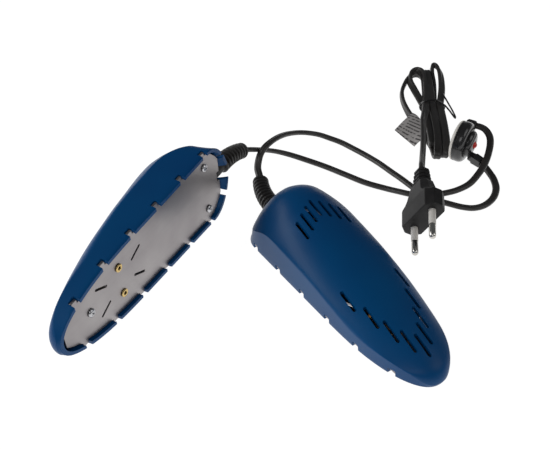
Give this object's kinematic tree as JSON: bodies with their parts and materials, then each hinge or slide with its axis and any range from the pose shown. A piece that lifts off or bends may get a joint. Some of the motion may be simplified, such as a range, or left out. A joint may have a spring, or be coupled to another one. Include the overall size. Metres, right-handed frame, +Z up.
{
  "type": "electric boot dryer pair",
  "caption": "Pair of vented, foot-shaped heater shells on flat leads joined at one round junction with an indicator lamp and a mains cord with a plug.",
  "frame": {"origin": "on the surface the dryers lie on, under the centre of the box around the two dryers, cords and plug left out", "axes": "+Z up; +Y away from the viewer of the displayed layout, +X to its right; the dryer with its plate upright lies on the -X side"},
  "size_m": [0.2481, 0.3103, 0.0536],
  "materials": {
    "blue_plastic": "satin moulded plastic",
    "brushed_plate": "satin plate",
    "steel": "zinc plated",
    "brass": "bright",
    "mica": "mica-like insulating sheet",
    "ceramic": "fired ceramic",
    "brown_wire": "insulated wire",
    "blue_wire": "insulated wire",
    "black_rubber": "moulded black flexible plastic",
    "grey_plastic": "satin",
    "red_lens": "clear red lens, moulded solid",
    "lamp_glass": "small neon bulb",
    "nickel": "nickel plated",
    "paper": "coated paper tag"
  },
  "bodies": {
    "root": {"left_top_shell": "blue_plastic", "left_sole_plate": "brushed_plate", "left_screw_1": "steel", "left_screw_2": "steel", "left_screw_3": "steel", "left_eyelet_1": "brass", "left_eyelet_2": "brass", "left_heater_bracket": "steel", "left_lower_mica_pad": "mica", "left_lower_contact_plate": "brass", "left_ptc_element": "ceramic", "left_upper_contact_plate": "brass", "left_upper_mica_pad": "mica", "left_thermal_fuse": "ceramic", "left_live_wire_1": "brown_wire", "left_live_wire_2": "brown_wire", "left_neutral_wire": "blue_wire", "left_cord_tail": "black_rubber", "left_cord_clamp": "black_rubber", "left_cord_boot": "black_rubber", "right_top_shell": "blue_plastic", "right_sole_plate": "brushed_plate", "right_screw_1": "steel", "right_screw_2": "steel", "right_screw_3": "steel", "right_eyelet_1": "brass", "right_eyelet_2": "brass", "right_heater_bracket": "steel", "right_lower_mica_pad": "mica", "right_lower_contact_plate": "brass", "right_ptc_element": "ceramic", "right_upper_contact_plate": "brass", "right_upper_mica_pad": "mica", "right_thermal_fuse": "ceramic", "right_live_wire_1": "brown_wire", "right_live_wire_2": "brown_wire", "right_neutral_wire": "blue_wire", "right_cord_tail": "black_rubber", "right_cord_clamp": "black_rubber", "right_cord_boot": "black_rubber", "junction_housing": "black_rubber", "junction_rear_cover": "grey_plastic", "junction_front_cap": "black_rubber", "indicator_lens": "red_lens", "neon_lamp": "lamp_glass", "upper_gland": "black_rubber", "lower_gland": "black_rubber", "plug_body": "black_rubber", "plug_pin_1": "nickel", "plug_pin_2": "nickel", "pin_sleeve_1": "grey_plastic", "pin_sleeve_2": "grey_plastic", "left_lead": "black_rubber", "right_lead": "black_rubber", "mains_lead": "black_rubber", "mains_tail": "black_rubber", "mains_hank": "black_rubber", "twist_tie": "black_rubber", "cord_label": "paper"}
  },
  "joints": []
}
